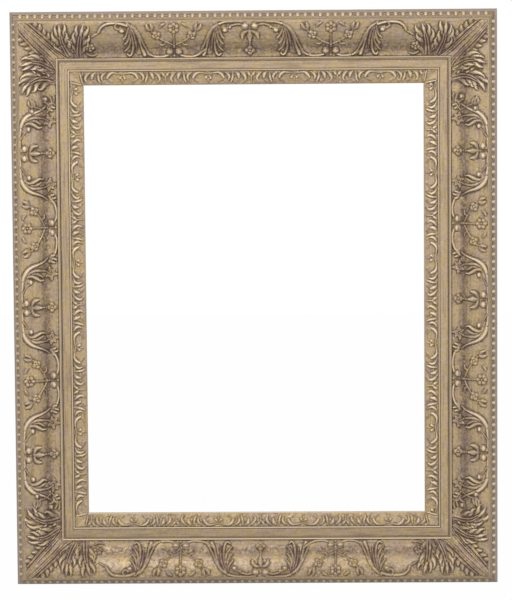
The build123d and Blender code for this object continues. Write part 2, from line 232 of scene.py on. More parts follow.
convex, turn_heading = tangent_arc(RIDGE, 0.0, OGEE_TURN, count=120)
concave, _ = tangent_arc(OGEE_TURN, turn_heading, OGEE_FOOT, count=80)
OGEE = Profile(np.vstack((convex, concave[1:])))
BAND = Profile(np.linspace(BAND_OUTER, BAND_INNER, num=60))
SLOPE_MIDDLE = np.add(BEAD_FOOT, BEAD_HEAD) / 2
SLOPE_ACROSS = np.subtract(BEAD_HEAD, BEAD_FOOT)
SLOPE_ACROSS /= np.linalg.norm(SLOPE_ACROSS)
SLOPE_NORMAL = np.array((-SLOPE_ACROSS[1], SLOPE_ACROSS[0]))


# Drawing of the ornament
def smooth_path(points):
    """Points at an even spacing along a smooth curve through a few given ones."""
    points = np.asarray(points, float)
    padded = np.vstack((2 * points[0] - points[1], points, 2 * points[-1] - points[-2]))
    x = np.linspace(0, 1, CURVE_STEPS, endpoint=False)[:, None]
    runs = []
    for before, start, end, after in zip(padded, padded[1:], padded[2:], padded[3:]):
        bend = 2 * before - 5 * start + 4 * end - after
        turn = 3 * start - before - 3 * end + after
        runs.append(0.5 * (2 * start + (end - before) * x + bend * x**2 + turn * x**3))
    line = np.vstack(runs + [points[-1:]])
    lengths = np.concatenate(([0], np.cumsum(np.hypot(*np.diff(line, axis=0).T))))
    even = np.linspace(0, lengths[-1], max(2, int(lengths[-1] / DAB_SPACING) + 1))
    return np.column_stack([np.interp(even, lengths, line[:, axis]) for axis in (0, 1)])


def spread_values(values, count):
    """A few values spread evenly over a path of many points."""
    values = np.atleast_1d(np.asarray(values, float))
    return np.interp(np.linspace(0, 1, count), np.linspace(0, 1, len(values)), values)


def window(rows, columns, low, high):
    """Slices of a grid's rows and columns within a box, whose corners are places along and across."""
    return (slice(*np.searchsorted(rows, (low[1], high[1]))),
            slice(*np.searchsorted(columns, (low[0], high[0]))))


class Relief:
    """Height of the ornament on one side's moulding, on a fine grid along and across it."""

    def __init__(self, length, width, seed):
        self.start = -length / 2
        self.a = self.start + CANVAS_CELL * np.arange(int(length / CANVAS_CELL) + 2)
        self.s = CANVAS_CELL * np.arange(int(width / CANVAS_CELL) + 2)
        self.height = np.zeros((len(self.s), len(self.a)))
        self.bole = np.zeros_like(self.height)
        self.random = np.random.default_rng(seed)

    def stroke(self, points, *look):
        """A rounded stroke along a path, with the look that a shape takes."""
        self.shape((points,), *look)

    def shape(self, paths, radii, rises, bole=0.0, power=0.5, moat=MOAT):
        """Rounded strokes blended into one shape, which a narrow moat cuts free of what lies under it."""
        paths = [smooth_path(points) for points in paths]
        places = np.vstack(paths)
        margin = np.max(radii) + moat
        box = window(self.s, self.a, places.min(0) - margin, places.max(0) + margin)
        rows, columns = self.s[box[0]], self.a[box[1]]
        own = np.zeros((len(rows), len(columns)))
        tint = np.zeros_like(own)
        cut = np.zeros_like(own, bool)
        for path in paths:
            spread = [spread_values(values, len(path)) for values in (radii, rises, bole)]
            for place, radius, rise, colour in zip(path, *spread):
                reach = radius + moat
                near = window(rows, columns, place - reach, place + reach)
                distance = (rows[near[0], None] - place[1]) ** 2 + (columns[near[1]] - place[0]) ** 2
                cut[near] |= distance < reach**2
                dab = rise * np.clip(1 - distance / radius**2, 0, None) ** power
                higher = dab > own[near]
                own[near][higher] = dab[higher]
                tint[near][higher] = colour
        under = self.height[box]
        under[cut & (own == 0)] *= MOAT_DEPTH
        higher = own > under
        under[higher] = own[higher]
        self.bole[box][higher] = tint[higher]

    def sample(self, a, s):
        """Height, bole, and the darkening from age and painted shade, with painted highlights, at places
        along and across, between the grid's points.
        """
        column = np.clip((a - self.start) / CANVAS_CELL, 0, len(self.a) - 2)
        row = np.clip(s / CANVAS_CELL, 0, len(self.s) - 2)
        j, i = column.astype(int), row.astype(int)
        x, y = column - j, row - i
        found = []
        for grid in (self.height, self.bole, self.patina_and_shading):
            top = grid[i, j] * (1 - x) + grid[i, j + 1] * x
            foot = grid[i + 1, j] * (1 - x) + grid[i + 1, j + 1] * x
            found.append(top * (1 - y) + foot * y)
        return found

    def finish(self, full_height):
        """Find the hollows, as how far each place lies below its surroundings, and soften the steps.

        The highest places get a painted highlight, so they count as lying well above their surroundings.
        """
        self.height = blur(self.height, SOFTENING)
        near = blur(self.height, NEAR_REACH)
        wide = blur(self.height, WIDE_REACH)
        below = NEAR_SHARE * (near - self.height) + WIDE_SHARE * (wide - self.height)
        top_highlight = np.clip((self.height / full_height - HIGHLIGHT_FROM) / (1 - HIGHLIGHT_FROM), 0, 1)
        self.patina_and_shading = np.where(below > 0, below, CREST_HIGHLIGHT * below) - HIGHLIGHT_STRENGTH * top_highlight


def blur(grid, reach):
    """Three running means along each way of a grid."""
    width = 2 * reach + 1
    for axis in (0, 1):
        for _ in range(3):
            padding = [(0, 0), (0, 0)]
            padding[axis] = (reach + 1, reach)
            total = np.cumsum(np.pad(grid, padding, mode="edge"), axis=axis)
            upper = np.take(total, range(width, total.shape[axis]), axis=axis)
            lower = np.take(total, range(0, total.shape[axis] - width), axis=axis)
            grid = (upper - lower) / width
    return grid


class Pen:
    """Draws motifs about a centre on a relief. A motif's a runs along the side and its b inward."""

    def __init__(self, relief, centre, hand=1, stretch=1.0, profile=None):
        self.relief, self.centre, self.hand, self.stretch = relief, centre, hand, stretch
        self.profile = profile

    def place(self, points):
        """Motif points on the relief's grid, with a little of the carver's unevenness."""
        points = np.asarray(points, float)
        a = self.centre + self.hand * self.stretch * points[:, 0]
        s = points[:, 1]
        if self.profile:
            s = self.profile.length_at(self.profile.u[0] + s)
        return np.column_stack((a, s)) + self.relief.random.normal(0, UNEVENNESS, points.shape)

    def stroke(self, points, *look):
        """A rounded stroke through motif points, with the look that a relief's stroke takes."""
        self.relief.stroke(self.place(points), *look)

    def strokes(self, paths, *look):
        """Strokes that look alike through several runs of motif points."""
        for points in paths:
            self.stroke(points, *look)

    def ball(self, a, b, radius, rise, bole=0.0):
        """A round knob."""
        self.stroke(((a, b), (a + 0.1, b)), radius, rise, bole)

    def flower(self, a, b, radius, petals, turn=0.0, eye=0.26):
        """Plump petals about a small raised eye."""
        middle = self.place([(a, b)])[0]
        petal_radius = radius * min(0.46, 0.72 * math.sin(math.pi / petals))
        for number in range(petals):
            angle = turn + 2 * math.pi * number / petals
            way = np.array((math.cos(angle), math.sin(angle)))
            petal = middle + 0.4 * radius * way, middle + (radius - petal_radius) * way
            self.relief.stroke(petal, (0.6 * petal_radius, petal_radius), (3, 4), (0.6, 0), 0.32)
        self.relief.stroke((middle, middle + 0.1), eye * radius, 4.6)

    def volute(self, a, b, radius, start, turns):
        """A scroll end that winds inward to a large round eye."""
        middle = self.place([(a, b)])[0]
        angles = start + np.linspace(0, 2 * math.pi * turns, 14)
        reach = np.linspace(radius - 1, 0.8 * radius, 14)
        spiral = middle + np.column_stack((self.hand * reach * np.cos(angles), reach * np.sin(angles)))
        self.relief.stroke(spiral, (1.6, 1), (3.6, 3.2), (0.5, 0.3))
        reach = np.array((EYE_REACH * radius, 0))
        eye = (middle - reach, middle, middle + reach)
        self.relief.stroke(eye, radius * np.array(EYE_WIDTHS), (4.6, 4.9, 4.6), 0, PLUMP)

    def spine(self, points):
        """A smooth line through motif points, and a call that gives places beside it.

        The places are by the share of the line's length and by the distance to its side.
        """
        line = smooth_path(self.place(points))
        ways = np.gradient(line, axis=0)
        ways /= np.linalg.norm(ways, axis=1)[:, None]

        def beside(share, offset):
            index = int(np.clip(share, 0, 1) * (len(line) - 1))
            return line[index] + self.hand * offset * np.array((-ways[index][1], ways[index][0]))

        return line, beside

    def acanthus(self, spine, reach, lobes):
        """A leaf with a broad smooth trunk, from whose edges hooked lobes turn out one after another."""
        line, beside = self.spine(spine)
        body = (0.5 * reach, 0.7 * reach, 0.55 * reach, 0.2 * reach)
        self.relief.stroke(line, body, (1.2, 1.6, 2), 1, 0.3)
        for number in range(lobes - 1, -1, -1):
            share = number / (lobes - 1)
            for hand in (1, -1):
                end = 0.4 + 0.46 * share + self.relief.random.uniform(-0.07, 0.07)
                spread = hand * reach * (1.0 - 0.36 * share) * self.relief.random.uniform(0.8, 1.15)
                flame = [beside(end + ahead, out * spread) for ahead, out in FLAME]
                self.relief.stroke(flame, (2.4, 4.6, 5.4, 3.6, 1.3), (2.8, 3.4, 4.4, 4.9, 4.3),
                                   (1, 0.8, 0.3, 0, 0))
        last = len(line) - 1
        self.relief.stroke(line[:int(0.86 * last)], (8.5, 6.6, 5.6, 3.4), (3.4, 4), 1, 0.4)
        for offset in (-0.18, 0.18):
            flute = [beside(share, offset * reach * (1 - 0.6 * share)) for share in (0.02, 0.25, 0.5, 0.76)]
            self.relief.stroke(flute, (2.6, 2.4, 2, 1.2), (3.6, 4.2, 4.4), (0.9, 0.5))
        self.relief.stroke(line[int(0.7 * last):], (2.4, 4.8, 1.2), (4, 4.9, 4.3), (0.9, 0.2, 0))

    def frill(self, spine, reach, lobes):
        """A smooth band with short rounded lobes along one edge."""
        line, beside = self.spine(spine)
        for number in range(lobes):
            share = 0.16 + 0.74 * number / (lobes - 1)
            spread = reach * self.relief.random.uniform(0.85, 1.1)
            lobe = [beside(share, 1), beside(share + 0.01, 0.55 * spread), beside(share + 0.06, spread)]
            self.relief.stroke(lobe, (3, 5.2, 2.4), (2.8, 3.8, 4.6), (1, 0.4, 0))
        self.relief.stroke(line, (4.4, 4.8, 4.2, 2.2), (3.2, 4), (1, 0.9))


def ivy_leaf(pen, root, middle, tips):
    """A pointed leaf with a few lobes and a vein to each of them."""
    pen.relief.shape([pen.place((middle, tip)) for tip in tips], (6.8, 2.2), (2.8, 4), (1, 0.2), 0.3)
    for tip in tips:
        pen.stroke((middle, 0.3 * np.array(middle) + 0.7 * np.array(tip)), (1.1, 0.7), (3.8, 4.5), 0.3)
    pen.stroke((root, middle), (2.2, 1.4), (3.6, 4.4), (0.9, 0.3))


def swept_leaf(pen):
    """Half an acanthus leaf of a long side, which sweeps from a scroll at the ridge to the fillet."""
    body = ((52, 4), (66, 10), (76, 22), (80, 36), (84, 50))
    pen.stroke(body, (3, 7, 9, 9, 7), (2.4, 2.8, 2), 0.9, 0.3, 0)
    pen.stroke(((70, 22), (68, 34), (67, 46)), (6, 8, 6), (2, 1.6), 0.8, 0.3, 0)
    ivy_leaf(pen, (75, 45), (67, 59), ((80, 57), (75, 67), (66, 73), (55, 61), (62, 50)))
    low_fold = ((55, 4), (62, 12), (63, 22), (58.5, 31), (54, 38), (55, 44.5))
    pen.stroke(low_fold, (1.8, 3, 3.6, 3.8, 3, 1.4), (3.8, 4.8), (0.3, 0), PLUMP)
    pen.stroke(((68, 21), (68.5, 30), (65, 37), (61, 42)), (1.8, 3, 3, 1.4), (3.4, 4.6), (0.5, 0))
    middle_fold = ((58, 5), (68, 13), (74, 25), (74.5, 36), (73, 46))
    pen.stroke(middle_fold, (2, 3.2, 3.8, 3.4, 1.8), (3.8, 4.5, 4), (0.3, 0.6), PLUMP)
    edge = ((46, 2.2), (60, 3.8), (73, 11.5), (81.5, 22), (86.5, 34), (92, 45), (99, 54))
    pen.stroke(edge, (2.8, 4.2, 4.8, 4.2, 3, 2.2, 1.4), (4.8, 4.9, 4.8, 4.2), (0, 0, 0.4))
    petals = (
        ((96, 57), (91, 62), (88.5, 68)),
        ((97, 58), (97, 65), (95, 72)),
        ((98, 58), (103, 62), (104, 68)),
    )
    pen.strokes(petals, (2, 3.6, 1.8), (3.6, 4.9), (0.6, 0))


def tall_leaf(pen):
    """The leaf between two scrolls of a short side, whose long flutes rise from the ridge to curled tips."""
    pen.stroke(((68, 12), (78, 30), (83, 48), (86, 62)), (5, 10, 10, 7), (1.6, 2.4), 0.9, 0.3, 0)
    pen.stroke(((66, 16), (67, 32), (66, 46), (65, 58)), (4, 8, 9, 7), (2, 2.4, 1.8), 0.7, 0.3, 0)
    edge = ((62, 4), (78, 14), (88, 30), (95, 46), (104, 62), (114, 71))
    pen.stroke(edge, (2.2, 2.6, 2.2), (4.5, 4.1, 3.6), (0, 0.6))
    pen.stroke(((66, 8), (75, 24), (79, 42), (81, 58)), (2, 3, 3, 1.4), (3.4, 4.2, 3.6), 1)
    flute = ((66, 6), (80, 20), (87, 38), (92, 56), (97, 69))
    pen.stroke(flute, (2, 3.2, 3.2, 3, 4.4), (3.4, 4, 4.9), (0.8, 0.9, 0.2))
    curl = ((68, 16), (72, 34), (73.5, 50), (71, 64), (65.5, 70.5), (60.5, 66.5))
    pen.stroke(curl, (1.8, 2.8, 3, 3.2, 3, 2), (3.4, 4.2, 4.9), (0.8, 0.7, 0))
    for lobe, radii, rise in (
        (((68, 26), (68, 42), (63, 53), (56, 61)), (1.6, 2.8, 3, 1.4), 4.6),
        (((66, 20), (65, 33), (61, 41), (56, 45.5)), (1.6, 2.8, 2.8, 1.6), 4.7),
        (((65, 12), (62, 23), (58, 30), (53.5, 35)), (1.6, 2.6, 2.6, 1.6), 4.7),
    ):
        pen.stroke(lobe, radii, (3.4, rise), (0.9, 0.1))


def outward_half(pen, upright):
    """One hand of a scroll that bulges to the ridge: its stem, curl and leaf."""
    if upright:
        swept_leaf(pen)
        pen.stroke(((5, 3), (12, 1.4), (24, 1), (38, 1.2), (50, 2.4)), 2.8, (4.4, 4.9), 0.1)
        pen.stroke(((14, 9), (24, 8), (40, 8), (54, 9)), 12, 1.9, 0.2, 1.6, 0)
        pen.stroke(((30, 3), (37, 7), (43, 11), (47, 15)), (1.9, 1.7, 1.5), (3.8, 3.4), 0.3)
    else:
        tall_leaf(pen)
        pen.stroke(((64, 5.5), (52, 2.2), (38, 1.2), (24, 1), (11, 2.6)), 2.4, (4.6, 4), (0.2, 0.5))
        curl = ((14, 9), (21, 6.4), (29, 6), (39, 9.5), (48, 15))
        pen.stroke(curl, (2.4, 2.4, 2.2, 2), (3.8, 4.2, 3.6), 0.3)
        pen.ball(41, 12.5, 3, 4.4)
    pen.volute(51.5, 18.4, 5.8, 2.6, 0.75)


def outward_scroll(relief, centre, stretches, upright):
    """A whole scroll that bulges to the ridge, with volutes, a palmette and a flower at its middle."""
    for hand, stretch in zip((1, -1), stretches):
        pen = Pen(relief, centre, hand, stretch, OGEE)
        outward_half(pen, upright)
        side_petal = ((3, 21), (9.5, 22.5), (14.5, 27), (16.5, 35))
        pen.stroke(side_petal, (2, 3.6, 4.4, 1.8), (3.6, 4.6), (0.6, 0), PLUMP)
        pen.volute(10, 9.8, 7.6, -0.6, 1.1)
    pen.stroke(((0, 21), (0, 31), (0, 40)), (2.6, 6, 2.2), (3.6, 4.8), (0.6, 0), PLUMP)
    pen.ball(0, 44.5, 2.5, 4, 0.5)
    pen.ball(0, 49.5, 2, 3.6, 0.5)
    pen.flower(0, 61, 11, 4)


def scroll_end(pen):
    """The outermost scroll of a short side, whose stem turns down to a flower by the corner."""
    tall_leaf(pen)
    pen.stroke(((62, 8), (46, 4), (30, 3.2), (16, 5.5), (7, 12), (2, 21)), 3, (4.4, 4.9, 4), 0.1)
    pen.stroke(((40, 4), (37, 11), (44, 16), (48, 12)), (1.8, 2.8, 2.6, 1.6), (3.4, 4.2), 0.3)
    pen.volute(51.5, 18.4, 5.8, 2.6, 0.75)
    pen.stroke(((0, 24), (-6, 26), (-13, 30)), (1.4, 2.6, 1.4), (3.4, 4.2), (0.2, 0.4))
    pen.flower(-17, 53, 10, 5, 0.4)
    pen.stroke(((-4, 68), (-14, 70), (-24, 66)), (1.6, 3, 1.8), (3.4, 4.2), 0.4)


def inward_half(pen):
    """One hand of a scroll that bulges to the fillet: its stem, and a spray of a flower and a bud."""
    stem = ((14, 70), (24, 72.6), (38, 72.4), (51, 68.6), (60, 61.5), (67, 57))
    pen.stroke(stem, 3, (4.9, 4.8, 4.2), 0.1)
    pen.stroke(((18, 64), (30, 65.5), (42, 64), (52, 59)), 13, 2.1, 0.2, 1.6, 0)
    pen.stroke(((2, 48), (15, 43), (27, 36.5), (34, 31.5)), 1.6, 3, 0.5)
    pen.stroke(((17, 42), (21, 47), (28, 47.5)), (1.4, 2.5, 1.2), 3.2)
    pen.stroke(((40, 26), (45, 22), (47.5, 17)), 1.6, 3.2, 0.3)
    bud = ((47, 18), (54, 13.5), (57, 6)), ((46, 18), (45.5, 12), (48, 5))
    pen.strokes(bud, (2.2, 4.4, 2), (3.4, 4.4), (0.6, 0))
    pen.flower(36.5, 28.5, 10, 4, 0.5)
    pen.stroke(((29, 12), (25, 7.5), (19, 4.5)), (1.6, 3.4, 2), (3, 4.2), (0.5, 0))


def inward_scroll(relief, centre, stretches):
    """A whole scroll that bulges to the fillet, with volutes at its middle and a rosette by the ridge."""
    for hand, stretch in zip((1, -1), stretches):
        pen = Pen(relief, centre, hand, stretch, OGEE)
        inward_half(pen)
        pen.volute(10, 63, 7.6, 0.6, -1.1)
    pen.stroke(((0, 53), (0, 36), (0, 20)), (2.2, 1.6), (3.6, 3), 0.5)
    pen.ball(0, 49, 3, 4.2, 0.4)
    pen.ball(0, 71.5, 2.8, 4.2)
    pen.flower(0, 13.6, 12, 6, 0.5 * math.pi, 0.18)


def end_spray(pen):
    """Buds and a frilled leaf between the last scroll of a long side and the corner."""
    pen.stroke(((85, 56), (94, 62), (104, 68), (114, 72)), 1.7, 3.2, 0.4)
    pen.stroke(((86, 52), (93, 42), (97, 32)), 1.6, 3.2, 0.4)
    pen.volute(88.5, 25, 5.2, 0.4, 0.8)
    bud = (
        ((96, 27), (102, 31), (110, 28)),
        ((96, 26), (103, 20), (110, 20)),
        ((96, 26.5), (104, 26), (113, 23)),
    )
    pen.strokes(bud, (2, 3.2, 1.8), (3.2, 4.4), (0.7, 0))
    pen.volute(113, 53, 6.2, 2, 0.9)
    lobes = (
        ((98, 60), (104, 56), (107, 50)),
        ((103, 66), (111, 65), (117, 62)),
        ((108, 71), (115, 71), (121, 69)),
    )
    pen.strokes(lobes, (1.8, 3, 1.8), (3, 4.2), (0.7, 0))


def corner_wing(pen, upright):
    """Leaves that fan out beside the corner strap, with places along the side from the outer corner."""
    pen.frill(((112, 72), (100, 54), (84, 38), (66, 22), (46, 4)), 13, 7)
    if upright:
        outer = ((143, 72), (139, 50), (143, 29), (156, 13), (169, 6))
        inner = ((121, 70), (109, 48), (105, 28), (112, 5))
    else:
        outer = ((147, 73), (147, 54), (150, 34), (158, 7))
        inner = ((126, 72), (116, 50), (110, 28), (108, 5))
    pen.acanthus(outer, 20, 3)
    for a, b in ((133, 60), (128, 50), (132, 41), (126, 32)):
        pen.stroke(((a + 2, b + 3), (a, b), (a - 3, b - 3.5)), (1.4, 3, 1.8), (3.4, 4.8, 4), (0.6, 0))
    pen.acanthus(inner, 17, 3)


def strap(relief, half):
    """The long smooth leaf along each mitre, which narrows to the outer corner."""
    u = OGEE.at(relief.s)[0][:, None]
    from_mitre = (half - np.abs(relief.a) - u) / math.sqrt(2)
    edge = np.interp(u, STRAP_PLACES, STRAP_HALF_WIDTHS)
    share = np.abs(from_mitre) / edge
    flutes = sum(depth * np.exp(-(((share - middle) / width) ** 2)) for depth, middle, width in STRAP_FLUTES)
    ripple = STRAP_RIPPLE * np.cos(2 * math.pi * (u + from_mitre) / RIPPLE_LENGTH)
    body = STRAP_RISE - share**2 - flutes + ripple
    beyond = np.abs(from_mitre) - edge
    fall = np.clip((STRAP_EDGE - beyond) / STRAP_FALL, 0, 1)
    fall = fall**2 * (3 - 2 * fall)
    under = np.where(beyond < STRAP_MOAT, STRAP_MOAT_DEPTH * relief.height, relief.height)
    raised_edge = np.maximum(body * fall, STRAP_MOAT_DEPTH * under)
    relief.height = np.where(beyond < STRAP_EDGE, raised_edge, under)
    relief.bole = np.where(share < 0.8, 0.6 + 0.4 * np.cos(9.0 * share - 0.05 * u), relief.bole)
    relief.bole = np.where((share >= 0.8) & (share < 1), 0, relief.bole)


def ogee_relief(side, seed):
    """All the ornament on one side's ogee, with the corners at both its ends."""
    half = half_length(side)
    upright = side in UPRIGHTS
    relief = Relief(2 * half, OGEE.width, seed)
    for hand in (1, -1):
        corner_wing(Pen(relief, -hand * half, hand, 1.0, OGEE), upright)
    outward, inward = OUTWARD_SCROLLS[side], INWARD_SCROLLS[side]
    places = sorted(outward + inward)
    stops = [places[0] - MOTIF_SPACING, *places, places[-1] + MOTIF_SPACING]
    for before, place, after in zip(stops, places, stops[2:]):
        stretches = (after - place) / MOTIF_SPACING, (place - before) / MOTIF_SPACING
        if place in outward:
            outward_scroll(relief, place, stretches, upright)
        else:
            inward_scroll(relief, place, stretches)
    for hand, place in ((1, places[-1]), (-1, places[0])):
        if place in outward:
            end_spray(Pen(relief, place, hand, 1.0, OGEE))
        else:
            scroll_end(Pen(relief, place + hand * MOTIF_SPACING, -hand, 1.0, OGEE))
    strap(relief, half)
    relief.finish(ORNAMENT_HEIGHT)
    u = OGEE.at(relief.s)[0]
    # Painted shade: a band across the middle of the ogee with a bole tint, a line along its foot by the
    # fillet, and shade set by side
    steep_shade = np.exp(-(((u - RIDGE[0] - STEEP_PLACE[side]) / STEEP_WIDTH) ** 2))[:, None]
    foot = np.clip((u - OGEE_FOOT[0] + FOOT_LINE) / FOOT_LINE, 0, 1)[:, None]
    relief.patina_and_shading *= CARVING_SHADING[side]
    side_shade_ramp = np.interp(u, (RIDGE[0], OGEE_FOOT[0]), SIDE_SHADE[side])[:, None]
    relief.patina_and_shading += STEEP_SHADE * steep_shade + FOOT_SHADE * foot + side_shade_ramp
    relief.bole = np.maximum(relief.bole, STEEP_SHADE_TINT * steep_shade)
    return relief


def sight_half(pen):
    """One hand of the sight band's repeat, from the middle of a leaf cluster to a trefoil."""
    low = ((10, 20), (16, 24)), ((28, 20), (33, 24)), ((45, 20), (51, 23)), ((61, 18), (68, 23))
    pen.strokes(low, 3.2, 1.2, 0.6, 1, 0)
    for lobe, radii in (
        (((55, 2.8), (48.5, 7), (46, 13), (48, 19)), (1.6, 3, 3.2, 1.6)),
        (((38.5, 3), (39, 11), (40.5, 18), (43, 24)), (1.8, 2.8, 3, 1.6)),
        (((32, 2.6), (27.5, 8), (26, 15)), (1.8, 4.2, 2.6)),
        (((21.5, 2.6), (15, 8.5), (12, 16), (15, 22)), (1.8, 3.4, 3.2, 1.6)),
        (((7, 2.4), (4.4, 6.5), (0.8, 11.5)), (2.3, 3.1, 1.8)),
    ):
        pen.stroke(lobe, radii, (2.3, 3.1, 2.8), (0.3, 0), PLUMP)
    stem = ((58, 14), (62, 7.5), (69, 3.2), (79, 3.8), (90, 6.2))
    pen.stroke(stem, (3, 3.7, 2.4, 1.6, 1.5), (3.1, 3.1, 2.8, 2.6, 2.5), 0.1)


def corner_leaves(relief, half):
    """A plain hollowed leaf along each mitre of the sight band, with a thin rim to its edge."""
    across = relief.s[:, None]
    from_end = half - np.abs(relief.a)
    edge = CORNER_RIM[0][0] + (CORNER_RIM[1][0] - CORNER_RIM[0][0]) * across / BAND.width
    share = np.clip((from_end - across) / np.maximum(edge - across, 0.1), 0, 1)
    margin = np.clip(np.minimum(across, BAND.width - across) / 2, 0, 1)
    relief.height = np.where(from_end < edge, (0.5 + 1.3 * share**2) * margin, relief.height)
    for hand in (1, -1):
        Pen(relief, -hand * half, hand).stroke(CORNER_RIM, (1.5, 1.9, 1.5), 3.1, 0.2, PLUMP, 2.2)


def sight_relief(side, seed):
    """All the leaves on one side's sight band."""
    half = half_length(side) - BAND_OUTER[0]
    relief = Relief(2 * half, BAND.width, seed)
    places = round(2 * half / SIGHT_REPEAT)
    for place in range(-places, places + 1):
        centre = SIGHT_SHIFT[side] + place * SIGHT_REPEAT
        for hand in (1, -1):
            sight_half(Pen(relief, centre, hand))
        middle = Pen(relief, centre)
        middle.stroke(((0, 11), (0, 18), (0, 25)), (1.9, 1.6), (2.9, 2.4))
        trefoil = Pen(relief, centre + SIGHT_REPEAT / 2)
        for hand in (1, -1):
            trefoil.stroke(((hand * 2, 10.5), (hand * 5, 14.5)), (1.6, 3.4), (2.2, 3.1))
        trefoil.stroke(((0, 16), (0.5, 20), (0, 24)), (1.4, 2.2, 1.2), (1.6, 2.2))
    corner_leaves(relief, half)
    relief.finish(SIGHT_HEIGHT)
    # The sight band's patina and painted light and shade, scaled and darkened by side as painted shade
    relief.patina_and_shading = SIGHT_SHADING[side] * relief.patina_and_shading + SIGHT_SIDE_SHADE[side]
    return relief


# Meshes
def linked(name, data):
    """A new object with its data, linked to the scene."""
    added = bpy.data.objects.new(name, data)
    bpy.context.scene.collection.objects.link(added)
    return added


def new_piece(mesh, material, replaced):
    """Make a mesh a piece of its own name that rides on the frame and stands for a node."""
    piece = linked(mesh.name, mesh)
    mesh.materials.append(material)
    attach(piece, "frame")
    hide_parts(replaced)


def worn_and_shaded_mesh(name, points, faces, smooth, bole, patina_and_shading):
    """A mesh with some of its faces smooth, and with the bole and the darkening from age and painted light
    and shade at its points for its material.
    """
    mesh = bpy.data.meshes.new(name)
    mesh.from_pydata(points.tolist(), [], faces)
    mesh.polygons.foreach_set("use_smooth", smooth)
    for label, values in (("bole", bole), ("patina_and_shading", patina_and_shading)):
        mesh.attributes.new(label, "FLOAT", "POINT").data.foreach_set("value", values.astype(np.float32))
    mesh.update()
    return mesh


def front_and_back(front, rear, behind):
    """The values of one grid at all its points, then those of another at the points behind."""
    return np.concatenate((front.reshape(behind.size, -1), rear[behind].reshape(behind.sum(), -1)))


def sheet_mesh(name, back_columns, top, foot, bole, patina_and_shading):
    """A closed mesh: a fine grid on top, a skirt round its edge and long strips behind it."""
    rows, columns = bole.shape
    index = np.arange(rows * columns).reshape(rows, columns)
    behind = np.zeros((rows, columns), bool)
    behind[(0, -1), :] = True
    behind[:, list(back_columns)] = True
    back = np.full((rows, columns), -1)
    back[behind] = rows * columns + np.arange(behind.sum())
    quads = np.stack((index[:-1, :-1], index[:-1, 1:], index[1:, 1:], index[1:, :-1]), -1).reshape(-1, 4)
    ring = np.concatenate((index[0], index[1:, -1], index[-1, -2::-1], index[-2:0:-1, 0]))
    following, under = np.roll(ring, -1), back.ravel()
    skirt = np.column_stack((following, ring, under[ring], under[following]))
    faces = quads.tolist() + skirt.tolist()
    for left, right in zip(back_columns, back_columns[1:]):
        for i in range(rows - 1):
            upper = back[i, left:right + 1] if i == 0 else back[i, [left, right]]
            lower = back[i + 1, left:right + 1] if i == rows - 2 else back[i + 1, [left, right]]
            faces.append(np.concatenate((lower, upper[::-1])).tolist())
    smooth = np.arange(len(faces)) < len(quads)
    wear_and_shading = (front_and_back(grid, grid, behind).ravel() for grid in (bole, patina_and_shading))
    mesh = worn_and_shaded_mesh(name, front_and_back(top, foot, behind), faces, smooth, *wear_and_shading)
    flat = np.dstack(np.meshgrid(np.linspace(0, 1, columns), np.linspace(0, 1, rows)))
    places = front_and_back(flat, flat, behind)
    loops = np.zeros(len(mesh.loops), np.int32)
    mesh.loops.foreach_get("vertex_index", loops)
    mesh.uv_layers.new(name="grid").data.foreach_set("uv", places[loops].ravel())
    return mesh


def raised(side, relief, profile, t, s, mitre_share):
    """Grids of a relief's top and foot points, its bole, and its darkening from age and painted light and
    shade.
    """
    rise, bole, patina_and_shading = relief.sample(t, s)
    u, h, normal_u, normal_h = profile.at(s)
    outward = np.sign(t) * mitre_share
    surfaces = []
    for lift in (rise + GROUND, -SHEET_DEPTH):
        along = t - outward * lift * normal_u
        surfaces.append(to_world(side, along, u + lift * normal_u, h + lift * normal_h))
    return *surfaces, bole, patina_and_shading


def scroll_piece(side, relief, material):
    """The scrollwork of one side, between its corners."""
    reach = half_length(side) - CORNER_LENGTH
    t, s = np.meshgrid(np.linspace(-reach, reach, SCROLL_COLUMNS), np.linspace(0, OGEE.width, RELIEF_ROWS))
    grids = raised(side, relief, OGEE, t, s, 0.0)
    mesh = sheet_mesh(f"{side}_scroll_carving", (0, SCROLL_COLUMNS - 1), *grids)
    new_piece(mesh, material, f"{side}_scrollwork")


def corner_piece(corner, reliefs, material):
    """The strap and leaves of one corner, on the end of one side and the start of the next."""
    s = np.linspace(0, OGEE.width, CORNER_ROWS)[:, None]
    from_corner = OGEE.at(s)[0]
    distance = from_corner + (CORNER_LENGTH - from_corner) * np.linspace(0, 1, CORNER_COLUMNS)
    mitre_share = np.clip(1 - (distance - from_corner) / CORNER_BLEND, 0, 1)
    wings = []
    for side, way in zip(CORNERS[corner], (1, -1)):
        t = way * (half_length(side) - distance)
        wings.append(raised(side, reliefs[side], OGEE, t, s + 0 * t, mitre_share))
    joined = [np.concatenate((one[:, :0:-1], two), axis=1) for one, two in zip(*wings)]
    mesh = sheet_mesh(f"{corner}_acanthus", (0, CORNER_COLUMNS - 1, 2 * CORNER_COLUMNS - 2), *joined)
    new_piece(mesh, material, f"{corner}_corner_leaf")


def sight_piece(side, relief, material):
    """The leaves of one side's sight band, mitred at both ends."""
    s = np.linspace(0, BAND.width, SIGHT_ROWS)[:, None]
    reach = half_length(side) - BAND.at(s)[0]
    t = reach * np.linspace(-1, 1, SIGHT_COLUMNS)
    mitre_share = np.clip(1 - (reach - np.abs(t)) / SIGHT_BLEND, 0, 1)
    grids = raised(side, relief, BAND, t, s + 0 * t, mitre_share)
    mesh = sheet_mesh(f"{side}_sight_carving", (0, SIGHT_COLUMNS - 1), *grids)
    new_piece(mesh, material, f"{side}_sight_leaves")


def slope_place(w, n):
    """Inward place and height at a distance across the outer slope from its middle, and above it."""
    return SLOPE_MIDDLE + w * SLOPE_ACROSS + n * SLOPE_NORMAL


